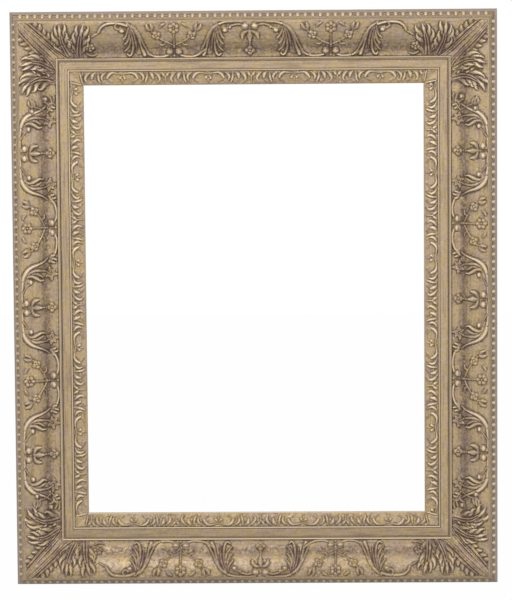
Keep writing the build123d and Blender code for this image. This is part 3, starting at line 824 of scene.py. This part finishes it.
def bead_strip(side):
    """The channelled strip under one side's beads, as points with bole and painted shade, and faces."""
    edge = BEAD_STRIP_WIDTH / 2
    section = [(-edge, -0.3), (-edge, 0.9), (0.5 - edge, 1.2), (1.0 - edge, 0.9), (1.3 - edge, CHANNEL_FLOOR)]
    section += [(-w, n) for w, n in section[::-1]]
    points = []
    for way in (-1, 1):
        for w, n in section:
            u, h = slope_place(w, n)
            # The channel floor gets bole and painted shade set by side; its rims get no bole and little
            # darkening
            wear_and_shading = (1.0, BEAD_SHADE[side]) if n == CHANNEL_FLOOR else (0.0, -0.5)
            points.append((*to_world(side, way * (half_length(side) - u), u, h), *wear_and_shading))
    count = len(section)
    faces = [(k, (k + 1) % count, count + (k + 1) % count, count + k) for k in range(count)]
    faces += [tuple(range(count - 1, -1, -1)), tuple(range(count, 2 * count))]
    return points, faces


def bead(side, t, base):
    """An oval bead on a side, as points with bole, painted shade and painted highlight, and faces numbered
    from a base.
    """
    bead_shade, bead_highlight = BEAD_SHADE[side], BEAD_HIGHLIGHT[side]
    points, faces = [], []
    for ring, segment in np.ndindex(BEAD_RINGS, BEAD_SEGMENTS):
        tilt = 0.5 * math.pi * ring / BEAD_RINGS
        angle = 2 * math.pi * segment / BEAD_SEGMENTS
        along = t + BEAD_HALF_LENGTH * math.cos(tilt) * math.cos(angle)
        w = BEAD_HALF_WIDTH * math.cos(tilt) * math.sin(angle)
        n = BEAD_BASE + BEAD_RISE * math.sin(tilt)
        # Painted highlight on the bead's top and outer side, over painted shade set by side, with bole on the
        # flanks away from it
        highlight_share = max(math.sin(tilt), math.cos(tilt) * math.sin(angle))
        points.append((*to_world(side, along, *slope_place(w, n)), 0.8 * (1 - highlight_share), bead_shade - bead_highlight * highlight_share))
    peak = base + len(points)
    points.append((*to_world(side, t, *slope_place(0.0, BEAD_BASE + BEAD_RISE)), 0.0, bead_shade - bead_highlight))
    for segment in range(BEAD_SEGMENTS):
        following = (segment + 1) % BEAD_SEGMENTS
        for low in range(base, peak - BEAD_SEGMENTS, BEAD_SEGMENTS):
            high = low + BEAD_SEGMENTS
            faces.append((low + segment, low + following, high + following, high + segment))
        faces.append((high + segment, high + following, peak))
    faces.append(tuple(range(base + BEAD_SEGMENTS - 1, base - 1, -1)))
    return points, faces


def bead_piece(side, material):
    """A channelled strip on the outer slope of one side, with a row of oval beads in it."""
    points, faces = bead_strip(side)
    flat = len(faces)
    beads = 2 * int((half_length(side) - BEAD_HEAD[0] - BEAD_HALF_LENGTH) / BEAD_PITCH) + 1
    for number in range(beads):
        added_points, added_faces = bead(side, (number - (beads - 1) / 2) * BEAD_PITCH, len(points))
        points += added_points
        faces += added_faces
    points = np.array(points)
    smooth = np.arange(len(faces)) >= flat
    mesh = worn_and_shaded_mesh(f"{side}_beading", points[:, :3], faces, smooth, *points[:, 3:].T)
    new_piece(mesh, material, f"{side}_bead_course")


# Materials
GOLD = (0.42, 0.31, 0.2)
GOLD_DEEP = (0.2, 0.135, 0.09)
# GOLD_BRIGHT is both a lighter random mottle and the painted highlight; GOLD_PALE is the painted highlight on
# the highest crests
GOLD_BRIGHT = (0.78, 0.64, 0.46)
GOLD_PALE = (0.93, 0.85, 0.7)
GOLD_YELLOW = (0.44, 0.32, 0.155)
MAUVE = (0.29, 0.215, 0.18)
BOLE = (0.155, 0.088, 0.08)
# Dark patina in the hollows, also used for painted shade there and in the creases
PATINA_AND_SHADE = (0.055, 0.036, 0.027)
# The pale grey of the outer edge, darker on the top and left as painted shade
EDGE_GREY = by_side((0.32, 0.255, 0.215), (0.42, 0.34, 0.29), (0.3, 0.235, 0.2), (0.42, 0.34, 0.29))
WOOD = (0.30, 0.185, 0.095)
WOOD_DARK = (0.15, 0.085, 0.042)
OCHRE = (0.30, 0.20, 0.085)
GILT_METALLIC = 0.25
FITTING_METALLIC = 0.9

# Painted lines on the moulding, as inward places and half widths in millimetres, and their strength: painted
# shade in creases and under the outer edge, painted highlights on ridges, and painted shade bands that differ
# by side
SHADE_LINES = ((7.0, 2.0), (17.0, 0.6), (97.0, 1.5), (121.4, 1.2), (125.4, 0.9))
FILLET_SHADE_LINE = by_side((103.3, 1.4), (103.4, 1.4), (101.5, 1.4), (102.0, 1.4))
SHADE_LINE_SHARE = 0.85
HIGHLIGHT_LINES = ((99.3, 1.5), (123.4, 1.5), (153.6, 0.9))
HIGHLIGHT_LINE_SHARE = by_side(0.33, 0.22, 0.2, 0.8)
# An even lightening of the moulding's own colour, laid in with the painted highlight lines
EVEN_LIGHTENING = 0.03
# Painted shade bands at the rim, the fillet and the frieze, darker on some sides than others
SHADE_BANDS = (
    ((20.0, 4.0), by_side(0.08, 0.12, 0.46, 0.0)),
    ((102.5, 4.5), by_side(0.36, 0.5, 0.4, 0.0)),
    ((112.5, 14.0), by_side(0.06, 0.02, 0.15, 0.3)),
)


class Shader:
    """The node tree of a material or a world, with short calls to add nodes and link them."""

    def __init__(self, owner):
        owner.use_nodes = True
        self.owner, self.tree = owner, owner.node_tree
        self.surface = self.tree.nodes.get("Principled BSDF") or self.tree.nodes["Background"]

    def node(self, kind, settings=None, numbered=(), **named):
        """Add a node, set its properties, and set or link its inputs by number and by name."""
        added = self.tree.nodes.new(kind)
        for key, value in (settings or {}).items():
            setattr(added, key, value)
        for socket, value in zip(added.inputs, numbered):
            self.put(socket, value)
        for key, value in named.items():
            self.put(added.inputs[key.replace("_", " ")], value)
        return added

    def put(self, socket, value):
        """Link a socket to another or set its value."""
        if isinstance(value, bpy.types.NodeSocket):
            self.tree.links.new(value, socket)
        elif socket.type == "RGBA":
            socket.default_value = (*value, 1.0)
        else:
            socket.default_value = value

    def math(self, operation, *numbers):
        """A sum, product or other operation on numbers."""
        return self.node("ShaderNodeMath", {"operation": operation}, numbers).outputs[0]

    def ramp(self, value, low, high, start=0.0, end=1.0):
        """A number carried smoothly from one range to another."""
        return self.node("ShaderNodeMapRange", {"interpolation_type": "SMOOTHSTEP"}, Value=value,
                         From_Min=low, From_Max=high, To_Min=start, To_Max=end).outputs["Result"]

    def mix(self, share, first, second):
        """Two colours mixed by a share."""
        added = self.node("ShaderNodeMix", {"data_type": "RGBA"}, Factor=share)
        self.put(added.inputs[6], first)
        self.put(added.inputs[7], second)
        return added.outputs[2]

    def layered(self, colour, layers):
        """A colour with others laid over it one after another, each by a share."""
        for share, layer in layers:
            colour = self.mix(share, colour, layer)
        return colour

    def cover(self, share, shade, output):
        """Lay another shader node over the surface by a share, and link both to an output."""
        mixed = self.node("ShaderNodeMixShader", None, (share, self.surface.outputs[0], shade.outputs[0]))
        self.put(self.tree.nodes[output].inputs["Surface"], mixed.outputs[0])

    def noise(self, place, scale, detail=4.0, roughness=0.55):
        """Cloudy noise about a half at a scale in cells a metre."""
        return self.node("ShaderNodeTexNoise", Vector=place, Scale=scale, Detail=detail,
                         Roughness=roughness).outputs["Fac"]

    def place(self):
        """The object's own coordinates."""
        return self.node("ShaderNodeTexCoord").outputs["Object"]

    def attribute(self, name):
        """A number stored at the points of the mesh."""
        return self.node("ShaderNodeAttribute", {"attribute_name": name}).outputs["Fac"]

    def finish(self, colour, roughness, bump, depth=0.0003, strength=0.45):
        """Link the colour, roughness and bump to the surface, and give the material."""
        normal = self.node("ShaderNodeBump", Height=bump, Strength=strength, Distance=depth).outputs["Normal"]
        for name, value in (("Base Color", colour), ("Roughness", roughness), ("Normal", normal)):
            self.put(self.surface.inputs[name], value)
        return self.owner


def stretched(shader, side, long_scale):
    """Object coordinates squeezed along a side, so that noise runs in streaks along it."""
    scale = (1.0, 1.0, long_scale) if side in UPRIGHTS else (long_scale, 1.0, 1.0)
    return shader.node("ShaderNodeMapping", Vector=shader.place(), Scale=scale).outputs["Vector"]


def gilding(name, side, streaks, blotches):
    """A shader of gold leaf over red bole that shows through in places, darkened in the hollows partly by age
    and partly as painted shade, with painted highlights on the crests, and its colour, gloss and grain.
    """
    shader = Shader(bpy.data.materials.new(f"{name}_{side}"))
    shader.surface.inputs["Metallic"].default_value = GILT_METALLIC
    place = shader.place()
    mottle = shader.noise(place, 190.0, 4.0, 0.65)
    streak = shader.noise(stretched(shader, side, 0.06), 260.0, 3.0, 0.6)
    patina_and_shading = shader.attribute("patina_and_shading")
    laid_bare = shader.ramp(shader.noise(place, 90.0), 0.34, 0.56, 0.0, 0.8)
    dark_patina_and_shade = shader.ramp(shader.math("ADD", patina_and_shading, shader.ramp(mottle, 0.3, 0.7, -0.22, 0.22)), 0.12, 1.05)
    colour = shader.layered(GOLD, (
        (shader.ramp(shader.noise(place, 40.0, 5.0), 0.4, 0.6), GOLD_YELLOW),
        (shader.ramp(shader.noise(place, 24.0, 5.0), 0.46, 0.68, 0.0, blotches), MAUVE),
        (shader.ramp(streak, 0.45, 0.7, 0.0, streaks), GOLD_DEEP),
        (shader.ramp(mottle, 0.52, 0.72, 0.0, 0.45), GOLD_DEEP),
        (shader.ramp(mottle, 0.46, 0.28, 0.0, 0.28), GOLD_BRIGHT),
        # Bole where the gold has gone, which also tints the painted shade band across the ogee
        (shader.math("MULTIPLY", shader.attribute("bole"), laid_bare), BOLE),
        # Painted highlights on crests and the highest places, then dark patina and painted shade in the
        # hollows
        (shader.ramp(patina_and_shading, -0.5, -1.9, 0.0, 0.75), GOLD_BRIGHT),
        (shader.ramp(patina_and_shading, -1.9, -3.2, 0.0, 0.7), GOLD_PALE),
        (shader.math("MULTIPLY", dark_patina_and_shade, 0.84), PATINA_AND_SHADE),
    ))
    dullness = shader.ramp(mottle, 0.3, 0.7, -0.07, 0.07)
    gloss = shader.math("ADD", shader.ramp(dark_patina_and_shade, 0.0, 1.0, 0.48, 0.78), dullness)
    grain = shader.math("ADD", shader.noise(place, 520.0, 3.0), shader.math("MULTIPLY", mottle, 0.8))
    return shader, colour, gloss, grain


def gilded_ornament(side):
    """Gilding for the ornament of one side."""
    shader, *look = gilding("gilded_composition", side, streaks=0.5, blotches=0.45)
    return shader.finish(*look)


def across_side(shader, side):
    """Millimetres inward from a side's outer edge and above the wall plane."""
    position = shader.node("ShaderNodeNewGeometry").outputs["Position"]
    found = []
    for way, start in ((SIDES[side][1], half_reach(side)), ((0, -1, 0), 0.0)):
        scaled = [part / MILLI for part in way]
        dot = shader.node("ShaderNodeVectorMath", {"operation": "DOT_PRODUCT"}, (position, scaled))
        found.append(shader.math("ADD", dot.outputs["Value"], start))
    return found


def lines(shader, u, places):
    """One on lines at inward places with half widths, and nothing away from them."""
    total = None
    for middle, half_width in places:
        away = shader.math("ABSOLUTE", shader.math("SUBTRACT", u, middle))
        line = shader.ramp(away, half_width, 0.3 * half_width)
        total = line if total is None else shader.math("MAXIMUM", total, line)
    return total


def gilded_moulding(side):
    """Gilding on the front of a rail or slip with painted highlight and shade lines and bands, an ochre wash
    on its outer edge and bare wood behind.
    """
    shader, colour, gloss, grain = gilding("gilded_moulding", side, streaks=0.7, blotches=0.12)
    u, height = across_side(shader, side)
    # Painted highlight lines, painted shade lines in creases, and painted shade bands along the moulding
    bright = shader.math("MULTIPLY_ADD", lines(shader, u, HIGHLIGHT_LINES), HIGHLIGHT_LINE_SHARE[side], EVEN_LIGHTENING)
    dark = shader.math("MULTIPLY", lines(shader, u, SHADE_LINES + (FILLET_SHADE_LINE[side],)), SHADE_LINE_SHARE)
    shade_bands = [shader.math("MULTIPLY", lines(shader, u, (line,)), tones[side]) for line, tones in SHADE_BANDS]
    fibre = shader.noise(stretched(shader, side, 0.04), 420.0)
    deep = shader.ramp(height, BACK_LEVEL + 0.5, BACK_LEVEL - 0.5)
    inside = shader.math("MULTIPLY", deep, shader.ramp(u, BACK_EDGE - 0.5, BACK_EDGE + 0.5))
    behind = shader.math("MAXIMUM", inside, shader.ramp(height, 0.6, 0.2))
    wash = shader.mix(shader.ramp(fibre, 0.4, 0.7, 0.0, 0.6), OCHRE, WOOD_DARK)
    wood = shader.mix(shader.ramp(fibre, 0.35, 0.65), WOOD, WOOD_DARK)
    colour = shader.layered(colour, (
        (bright, GOLD_BRIGHT),
        (dark, PATINA_AND_SHADE),
        *((share, GOLD_DEEP) for share in shade_bands),
        (shader.ramp(u, OUTER_EDGE + 0.5, OUTER_EDGE - 0.5, 0.0, 0.7), EDGE_GREY[side]),
        (shader.ramp(height, EDGE_FOOT + 1.5, EDGE_FOOT - 1.5), wash),
        (behind, wood),
    ))
    return shader.finish(colour, gloss, grain)


def plain_metal(name, colour, dark):
    """Worn metal for the fittings."""
    shader = Shader(bpy.data.materials.new(name))
    shader.surface.inputs["Metallic"].default_value = FITTING_METALLIC
    place = shader.place()
    cloud = shader.noise(place, 160.0, 5.0)
    scratch = shader.noise(place, 1400.0, 2.0)
    tone = shader.mix(shader.ramp(cloud, 0.35, 0.7), colour, dark)
    return shader.finish(tone, shader.ramp(cloud, 0.3, 0.7, 0.3, 0.55), scratch, depth=0.0001, strength=0.3)


def bare_wood(name):
    """Plain joiner's wood."""
    shader = Shader(bpy.data.materials.new(name))
    grain = shader.noise(shader.place(), 220.0)
    tone = shader.mix(shader.ramp(grain, 0.3, 0.7), WOOD, WOOD_DARK)
    return shader.finish(tone, 0.7, grain, strength=0.4)


def paint(node, material):
    """Give a carried-over node one material."""
    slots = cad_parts[node].data.materials
    slots.clear()
    slots.append(material)


ornament = {side: gilded_ornament(side) for side in SIDES}
reliefs = {side: ogee_relief(side, seed) for seed, side in enumerate(SIDES, start=11)}
for side in SIDES:
    scroll_piece(side, reliefs[side], ornament[side])
    sight_piece(side, sight_relief(side, 31), ornament[side])
    bead_piece(side, ornament[side])
    moulding = gilded_moulding(side)
    paint(f"{side}_rail", moulding)
    paint(f"{side}_slip", moulding)
for corner, (_, second) in CORNERS.items():
    corner_piece(corner, reliefs, ornament[second])

brass = plain_metal("aged_brass", (0.55, 0.40, 0.17), (0.30, 0.20, 0.08))
steel = plain_metal("zinc_steel", (0.55, 0.55, 0.54), (0.32, 0.32, 0.31))
key_wood = bare_wood("key_wood")
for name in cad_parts:
    if name.endswith("corner_key"):
        paint(name, key_wood)
    elif "screws" in name or name == "slip_plates":
        paint(name, steel)
    elif "turn_button" in name or "hanger" in name:
        paint(name, brass)


# Stage, light and camera, in metres, watts and degrees, with lamps as place, size and power
FLOOR_HALF = 6.0
FLOOR_GAP = 0.001
FLOOR_GREY = (0.6, 0.6, 0.6)
FLOOR_ROUGHNESS = 0.9
FLOOR_GLOW = 0.985
WHITE = (1.0, 1.0, 1.0)
SKY = (1.0, 0.985, 0.96)
SKY_STRENGTH = 0.33
LAMPS = {"key": ((-1.5, -3.6, 2.5), 1.4, 121.0), "fill": ((2.4, -3.4, 1.5), 2.0, 56.0)}
CAMERA_AZIMUTH = 1.16
CAMERA_ELEVATION = 5.20
CAMERA_ROLL = -0.45
CAMERA_DISTANCE = 6.736
CAMERA_TARGET = Vector((0.00135, 0.0, -0.0044))
FOCAL_PIXELS = 3176.0
IMAGE_HEIGHT = 600
SENSOR = 36.0


def seen_straight(shader):
    """One for rays from the camera, from a reflection or through glass, and nothing for the light's own."""
    rays = shader.node("ShaderNodeLightPath").outputs
    seen = rays["Is Camera Ray"]
    for ray in ("Is Glossy Ray", "Is Transmission Ray"):
        seen = shader.math("MAXIMUM", seen, rays[ray])
    return seen


def stage_material():
    """A white that the camera sees as the photographer's background, with a soft shadow left on it."""
    shader = Shader(bpy.data.materials.new("white_ground"))
    shader.put(shader.surface.inputs["Base Color"], FLOOR_GREY)
    shader.put(shader.surface.inputs["Roughness"], FLOOR_ROUGHNESS)
    glow = shader.node("ShaderNodeEmission", Color=WHITE, Strength=1.0)
    share = shader.math("MULTIPLY", seen_straight(shader), FLOOR_GLOW)
    shader.cover(share, glow, "Material Output")
    return shader.owner


def add_floor():
    """A plain pale floor under the frame."""
    level = cad_box[0].z - FLOOR_GAP
    mesh = bpy.data.meshes.new("floor")
    ways = ((-1, -1), (1, -1), (1, 1), (-1, 1))
    mesh.from_pydata([(x * FLOOR_HALF, y * FLOOR_HALF, level) for x, y in ways], [], [(0, 1, 2, 3)])
    mesh.materials.append(stage_material())
    floor = linked("floor", mesh)


def light_world():
    """Soft even light, and white where the camera or a reflection looks past the frame."""
    world = bpy.data.worlds.new("studio")
    bpy.context.scene.world = world
    shader = Shader(world)
    shader.put(shader.surface.inputs["Color"], SKY)
    shader.put(shader.surface.inputs["Strength"], SKY_STRENGTH)
    white = shader.node("ShaderNodeBackground", Color=WHITE, Strength=1.0)
    shader.cover(seen_straight(shader), white, "World Output")


def add_lamp(name, place, size, power):
    """A soft square lamp that faces the frame's middle."""
    data = bpy.data.lights.new(name, "AREA")
    data.shape = "SQUARE"
    data.size = size
    data.energy = power
    lamp = linked(name, data)
    lamp.location = place
    lamp.rotation_euler = (-Vector(place)).to_track_quat("-Z", "Y").to_euler()


def add_camera():
    """The photographer's camera, almost level with the frame and a little above its middle."""
    azimuth, elevation = math.radians(CAMERA_AZIMUTH), math.radians(CAMERA_ELEVATION)
    away = Vector((math.sin(azimuth) * math.cos(elevation),
                   -math.cos(azimuth) * math.cos(elevation), math.sin(elevation)))
    data = bpy.data.cameras.new("camera")
    data.sensor_width = SENSOR
    data.lens = FOCAL_PIXELS * SENSOR / IMAGE_HEIGHT
    data.clip_end = 100.0
    camera = linked("camera", data)
    look = (-away).to_track_quat("-Z", "Y").to_matrix().to_4x4()
    roll = Matrix.Rotation(math.radians(CAMERA_ROLL), 4, "Z")
    camera.matrix_world = Matrix.Translation(CAMERA_TARGET + away * CAMERA_DISTANCE) @ look @ roll
    bpy.context.scene.camera = camera


add_floor()
light_world()
for lamp_name, (place, size, power) in LAMPS.items():
    add_lamp(lamp_name, place, size, power)
add_camera()
bpy.context.scene.view_settings.view_transform = "Standard"
